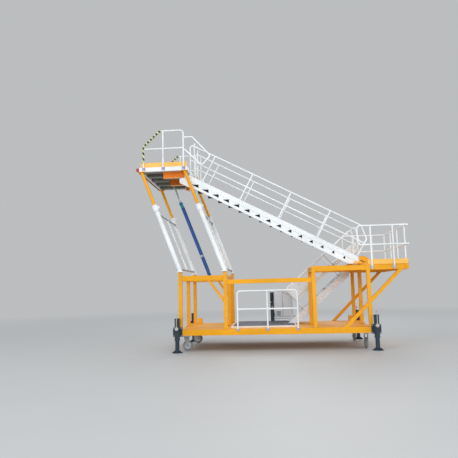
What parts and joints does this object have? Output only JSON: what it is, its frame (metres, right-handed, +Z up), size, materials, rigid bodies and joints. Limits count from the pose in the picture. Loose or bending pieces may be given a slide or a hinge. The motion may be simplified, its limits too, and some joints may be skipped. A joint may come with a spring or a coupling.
{
  "type": "aircraft maintenance stand",
  "caption": "Mobile stand with a lifting upper platform on sloping legs, a hinged long stair, a landing, a lower stair, screw jacks and swivel casters.",
  "frame": {"origin": "on the floor, midway between the platform's bumper and the landing's end rail, and midway between the front and rear jacks", "axes": "+X along the stand from the upper platform to the landing, +Y from its front to its rear, +Z up"},
  "size_m": [7.6199, 3.27, 6.387],
  "materials": {
    "yellow_paint": "satin enamel, slightly worn",
    "orange_paint": "satin enamel",
    "white_paint": "satin powder coat",
    "pale_blue_paint": "satin powder coat",
    "cabinet_grey": "satin powder coat",
    "dark_paint": "satin enamel",
    "cylinder_blue": "gloss enamel",
    "slat_grey": "mill finish in shade",
    "galvanised": "hot-dip galvanised",
    "aluminium": "brushed",
    "rod_chrome": "polished",
    "bumper_rubber": "matt",
    "hazard_paint": "satin, striped",
    "caster_tyre": "matt"
  },
  "bodies": {
    "chassis": {"base_side_beams": "yellow_paint", "base_cross_members": "yellow_paint", "base_deck": "yellow_paint", "base_outriggers": "yellow_paint", "left_tower_posts": "yellow_paint", "left_tower_beams": "yellow_paint", "knee_braces": "yellow_paint", "long_tie_beam": "yellow_paint", "right_tower_posts": "yellow_paint", "landing_long_beams": "yellow_paint", "landing_cross_beams": "yellow_paint", "landing_struts": "yellow_paint", "landing_deck": "yellow_paint", "landing_kick_plates": "yellow_paint", "leg_outer_tubes": "white_paint", "leg_collars": "white_paint", "leg_mid_tubes": "white_paint", "landing_guard_rails": "white_paint", "front_guard_rail": "white_paint", "lower_stair_panel": "pale_blue_paint", "control_cabinet": "cabinet_grey", "jack_bodies": "dark_paint", "hydraulic_unit": "dark_paint", "cylinder_barrel": "cylinder_blue", "leg_cross_ties": "galvanised", "caster_mounts": "galvanised", "chequer_deck": "aluminium", "lower_stair_stringers": "aluminium", "lower_stair_treads": "aluminium", "lower_stair_rails": "aluminium", "jack_cranks": "aluminium"},
    "platform": {"platform_side_beams": "white_paint", "platform_end_beams": "white_paint", "platform_joists": "slat_grey", "platform_deck": "slat_grey", "platform_kick_plates": "yellow_paint", "platform_bumper": "bumper_rubber", "platform_guard_rails": "white_paint", "hazard_guards": "hazard_paint", "stair_hinge_brackets": "orange_paint", "leg_inner_tubes": "yellow_paint", "cylinder_rod": "rod_chrome"},
    "upper_stair": {"stair_stringers": "white_paint", "stair_treads": "aluminium", "stair_guard_rails": "white_paint", "stair_foot_rollers": "caster_tyre", "stair_foot_covers": "yellow_paint"},
    "caster_front_left": {"caster_fork_front_left": "galvanised"},
    "wheel_front_left": {"caster_wheel_front_left": "caster_tyre"},
    "caster_front_right": {"caster_fork_front_right": "galvanised"},
    "wheel_front_right": {"caster_wheel_front_right": "caster_tyre"},
    "caster_rear_left": {"caster_fork_rear_left": "galvanised"},
    "wheel_rear_left": {"caster_wheel_rear_left": "caster_tyre"},
    "caster_rear_right": {"caster_fork_rear_right": "galvanised"},
    "wheel_rear_right": {"caster_wheel_rear_right": "caster_tyre"},
    "jack_front_left": {"jack_foot_front_left": "dark_paint"},
    "jack_front_right": {"jack_foot_front_right": "dark_paint"},
    "jack_rear_left": {"jack_foot_rear_left": "dark_paint"},
    "jack_rear_right": {"jack_foot_rear_right": "dark_paint"}
  },
  "joints": [
    {"name": "platform_lift", "type": "slide", "parent": "chassis", "child": "platform", "axis": [-0.3551, 0, 0.9348], "range_m": [-0.4, 0.25]},
    {"name": "stair_hinge", "type": "hinge", "parent": "platform", "child": "upper_stair", "pos_m": [-2.48, -0.695, 4.852], "axis": [0, 1, 0], "range_deg": [-4.5, 3]},
    {"name": "caster_swivel_front_left", "type": "hinge", "parent": "chassis", "child": "caster_front_left", "pos_m": [-2.47, -1, 0.4], "axis": [0, 0, 1], "continuous": true},
    {"name": "wheel_spin_front_left", "type": "hinge", "parent": "caster_front_left", "child": "wheel_front_left", "pos_m": [-2.41, -1, 0.145], "axis": [0, 1, 0], "continuous": true},
    {"name": "caster_swivel_front_right", "type": "hinge", "parent": "chassis", "child": "caster_front_right", "pos_m": [2.6, -1, 0.4], "axis": [0, 0, 1], "continuous": true},
    {"name": "wheel_spin_front_right", "type": "hinge", "parent": "caster_front_right", "child": "wheel_front_right", "pos_m": [2.6, -0.94, 0.145], "axis": [1, 0, 0], "continuous": true},
    {"name": "caster_swivel_rear_left", "type": "hinge", "parent": "chassis", "child": "caster_rear_left", "pos_m": [-2.47, 1, 0.4], "axis": [0, 0, 1], "continuous": true},
    {"name": "wheel_spin_rear_left", "type": "hinge", "parent": "caster_rear_left", "child": "wheel_rear_left", "pos_m": [-2.41, 1, 0.145], "axis": [0, 1, 0], "continuous": true},
    {"name": "caster_swivel_rear_right", "type": "hinge", "parent": "chassis", "child": "caster_rear_right", "pos_m": [2.6, 1, 0.4], "axis": [0, 0, 1], "continuous": true},
    {"name": "wheel_spin_rear_right", "type": "hinge", "parent": "caster_rear_right", "child": "wheel_rear_right", "pos_m": [2.6, 1.06, 0.145], "axis": [1, 0, 0], "continuous": true},
    {"name": "jack_screw_front_left", "type": "slide", "parent": "chassis", "child": "jack_front_left", "axis": [0, 0, 1], "range_m": [0, 0.25]},
    {"name": "jack_screw_front_right", "type": "slide", "parent": "chassis", "child": "jack_front_right", "axis": [0, 0, 1], "range_m": [0, 0.25]},
    {"name": "jack_screw_rear_left", "type": "slide", "parent": "chassis", "child": "jack_rear_left", "axis": [0, 0, 1], "range_m": [0, 0.25]},
    {"name": "jack_screw_rear_right", "type": "slide", "parent": "chassis", "child": "jack_rear_right", "axis": [0, 0, 1], "range_m": [0, 0.25]}
  ],
  "couplings": [
    {"joint": "stair_hinge", "follows": "platform_lift", "rad_per_m": 0.1885}
  ]
}
